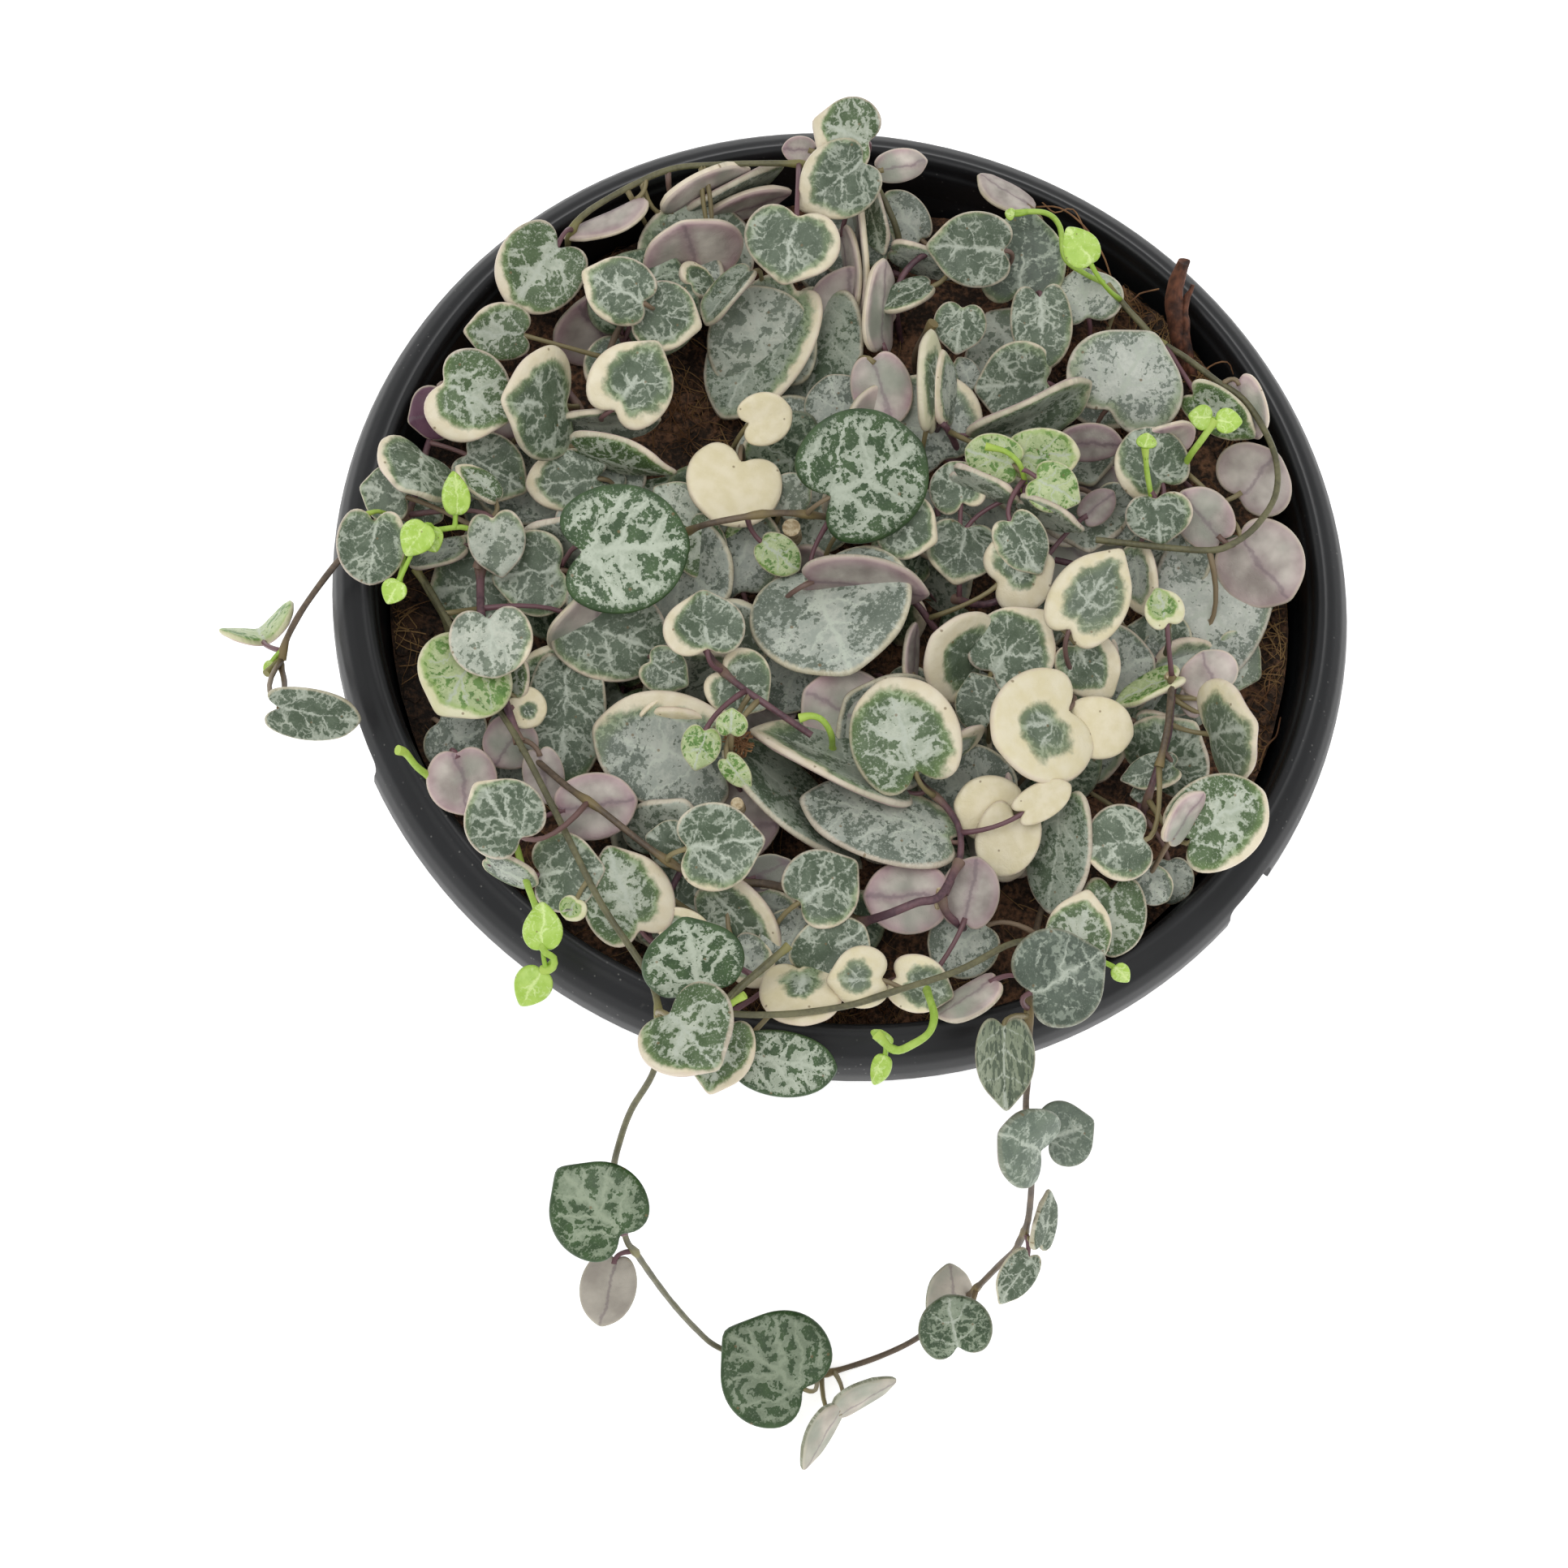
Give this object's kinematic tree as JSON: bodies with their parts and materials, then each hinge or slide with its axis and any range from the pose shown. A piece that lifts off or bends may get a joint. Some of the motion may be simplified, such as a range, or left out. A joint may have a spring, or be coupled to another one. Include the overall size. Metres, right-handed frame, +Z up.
{
  "type": "potted variegated string of hearts",
  "caption": "Trailing houseplant with mottled, cream-edged heart-shaped leaves on wiry vines, growing in a black nursery pot and spilling over its rim.",
  "frame": {"origin": "centre of the pot's flat base, on the surface that it stands on", "axes": "+Z up along the pot's axis; -Y towards the viewer, where the two long vines come down over the rim; +X to the viewer's right"},
  "size_m": [0.1658, 0.1902, 0.1214],
  "materials": {
    "pot": "satin moulded polypropylene with fine scuffs",
    "soil": "crumbly peat and coir with loose fibres",
    "dry_stem": "dry, split, reddish brown",
    "vine": "thin wiry stem, olive to purple brown",
    "leaf_mottled": "succulent, waxy; dark green with silver mottling and a thin cream or pink edge",
    "leaf_cream": "succulent, waxy; cream with grey-green patches",
    "leaf_underside": "succulent, matt mauve-grey back of a leaf"
  },
  "bodies": {
    "root": {"dried_stick": "dry_stem", "leaf_back_round": "leaf_mottled", "leaf_back_small": "leaf_mottled", "leaf_big_left": "leaf_mottled", "leaf_big_middle": "leaf_mottled", "leaf_centre_heart": "leaf_mottled", "leaf_centre_veined": "leaf_mottled", "leaf_cream_heart": "leaf_cream", "leaf_cream_middle": "leaf_mottled", "leaf_cream_patch": "leaf_cream", "leaf_cream_right": "leaf_cream", "leaf_crown_heart": "leaf_mottled", "leaf_drop_left": "leaf_mottled", "leaf_drop_right": "leaf_mottled", "leaf_front_back": "leaf_mottled", "leaf_front_heart": "leaf_mottled", "leaf_front_kidney": "leaf_mottled", "leaf_front_right": "leaf_mottled", "leaf_grey_heart": "leaf_mottled", "leaf_kidney_rim": "leaf_mottled", "leaf_left_far": "leaf_mottled", "leaf_left_fold": "leaf_mottled", "leaf_left_heart": "leaf_mottled", "leaf_left_kidney": "leaf_mottled", "leaf_left_silver": "leaf_mottled", "leaf_loop_end": "leaf_mottled", "leaf_loop_folded": "leaf_mottled", "leaf_loop_left": "leaf_mottled", "leaf_loop_left_under": "leaf_underside", "leaf_loop_right": "leaf_mottled", "leaf_loop_small": "leaf_mottled", "leaf_lower_left": "leaf_mottled", "leaf_pair_left": "leaf_mottled", "leaf_pale_heart": "leaf_cream", "leaf_pink_heart": "leaf_mottled", "leaf_pink_twin": "leaf_mottled", "leaf_right_lower": "leaf_mottled", "leaf_rim_hanging": "leaf_mottled", "leaf_rim_heart": "leaf_mottled", "leaf_rim_left_round": "leaf_mottled", "leaf_rim_round": "leaf_mottled", "leaf_top": "leaf_mottled", "pot": "pot", "soil": "soil", "vine_arc": "vine", "vine_back": "vine", "vine_centre": "vine", "vine_crown_back": "vine", "vine_crown_front": "vine", "vine_crown_left": "vine", "vine_crown_right": "vine", "vine_crown_top": "vine", "vine_front_left": "vine", "vine_front_right": "vine", "vine_front_side": "vine", "vine_left": "vine", "vine_lower": "vine", "vine_purple": "vine", "vine_right": "vine", "vine_right_lower": "vine"}
  },
  "joints": []
}
